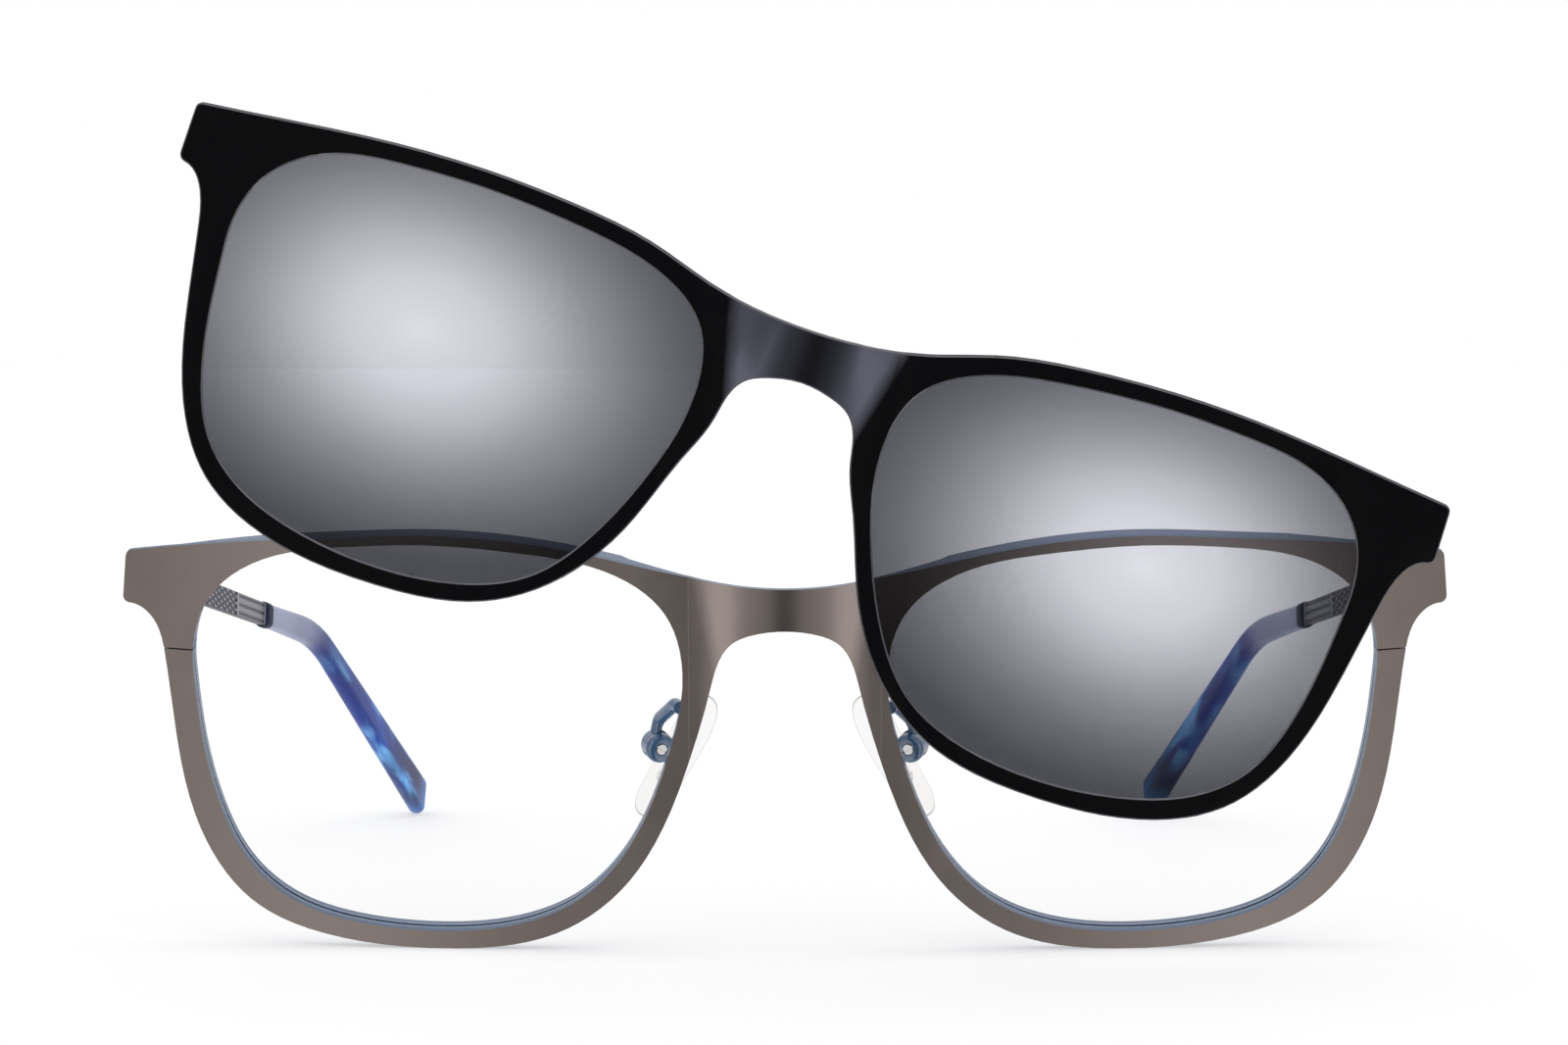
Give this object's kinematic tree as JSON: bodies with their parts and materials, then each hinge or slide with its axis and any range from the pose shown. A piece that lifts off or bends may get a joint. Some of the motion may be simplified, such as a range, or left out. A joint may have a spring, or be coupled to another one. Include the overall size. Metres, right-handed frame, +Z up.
{
  "type": "spectacle frame with magnetic clip-on sun lenses",
  "caption": "Thin metal spectacle frame with folding temples and rocking nose pads, and a dark clip-on pair of sun lenses held in front by magnets.",
  "frame": {"origin": "on the floor, in the middle of the bounding box: midway between the temples and between the clip's front and the temple tips", "axes": "+Z up, +Y back along the temples to their tips, +X to the right as seen by someone who faces the front"},
  "size_m": [0.1386, 0.1602, 0.088],
  "materials": {
    "front_steel": "satin taupe-gunmetal coating on thin sheet steel",
    "rim_blue": "satin steel-blue lacquer",
    "demo_lens": "clear, polished",
    "screws": "bright",
    "magnets": "nickel-plated",
    "collar_navy": "dark navy, semi-gloss",
    "tip_blue": "marbled translucent blue, polished",
    "pad_clear": "clear silicone",
    "clip_black": "satin black coating",
    "sun_lens": "tinted grey, polished"
  },
  "bodies": {
    "front": {"front_plate": "front_steel", "frame_bridge_magnet": "magnets", "frame_magnet_cup": "rim_blue", "eyewire_left": "rim_blue", "eyewire_right": "rim_blue", "demo_lens_left": "demo_lens", "demo_lens_right": "demo_lens", "rim_lock_lower_left": "rim_blue", "rim_lock_lower_right": "rim_blue", "rim_lock_upper_left": "rim_blue", "rim_lock_upper_right": "rim_blue", "rim_lock_screw_left": "screws", "rim_lock_screw_right": "screws", "frame_magnet_left": "magnets", "frame_magnet_right": "magnets", "end_piece_left": "front_steel", "end_piece_right": "front_steel", "front_hinge_left": "front_steel", "front_hinge_right": "front_steel", "hinge_screw_left": "screws", "hinge_screw_right": "screws", "pad_arm_left": "rim_blue", "pad_arm_right": "rim_blue", "pad_screw_left": "screws", "pad_screw_right": "screws"},
    "temple_left": {"temple_left": "front_steel", "temple_hinge_left": "front_steel", "tip_collar_left": "collar_navy", "temple_tip_left": "tip_blue"},
    "nose_pad_left": {"nose_pad_left": "pad_clear", "pad_insert_left": "screws"},
    "temple_right": {"temple_right": "front_steel", "temple_hinge_right": "front_steel", "tip_collar_right": "collar_navy", "temple_tip_right": "tip_blue"},
    "nose_pad_right": {"nose_pad_right": "pad_clear", "pad_insert_right": "screws"},
    "clip_carrier": {"clip_bridge_magnet": "magnets"},
    "sun_clip": {"clip_front": "clip_black", "sun_lens_left": "sun_lens", "sun_lens_right": "sun_lens", "clip_magnet_left": "magnets", "clip_magnet_right": "magnets"}
  },
  "joints": [
    {"name": "temple_left_fold", "type": "hinge", "parent": "front", "child": "temple_left", "pos_m": [-0.065, -0.0513, 0.0387], "axis": [0, -0.1495, -0.9888], "range_deg": [0, 80]},
    {"name": "temple_right_fold", "type": "hinge", "parent": "front", "child": "temple_right", "pos_m": [0.065, -0.0513, 0.0387], "axis": [0, 0.1495, 0.9888], "range_deg": [0, 74]},
    {"name": "pad_left_rock", "type": "hinge", "parent": "front", "child": "nose_pad_left", "pos_m": [-0.01338, -0.05586, 0.02095], "axis": [0.3277, -0.9205, -0.2128], "range_deg": [-8, 8]},
    {"name": "pad_right_rock", "type": "hinge", "parent": "front", "child": "nose_pad_right", "pos_m": [0.01338, -0.05586, 0.02095], "axis": [0.3277, 0.9205, 0.2128], "range_deg": [-8, 8]},
    {"name": "clip_lift", "type": "slide", "parent": "front", "child": "clip_carrier", "axis": [-0.0848, 0.3141, -0.9456], "range_m": [0, 0.02816]},
    {"name": "clip_swivel", "type": "hinge", "parent": "clip_carrier", "child": "sun_clip", "pos_m": [0.00239, -0.07783, 0.06187], "axis": [0.2243, -0.9739, -0.0354], "range_deg": [0, 18.41]}
  ],
  "couplings": [
    {"joint": "clip_swivel", "follows": "clip_lift", "rad_per_m": 11.4}
  ]
}
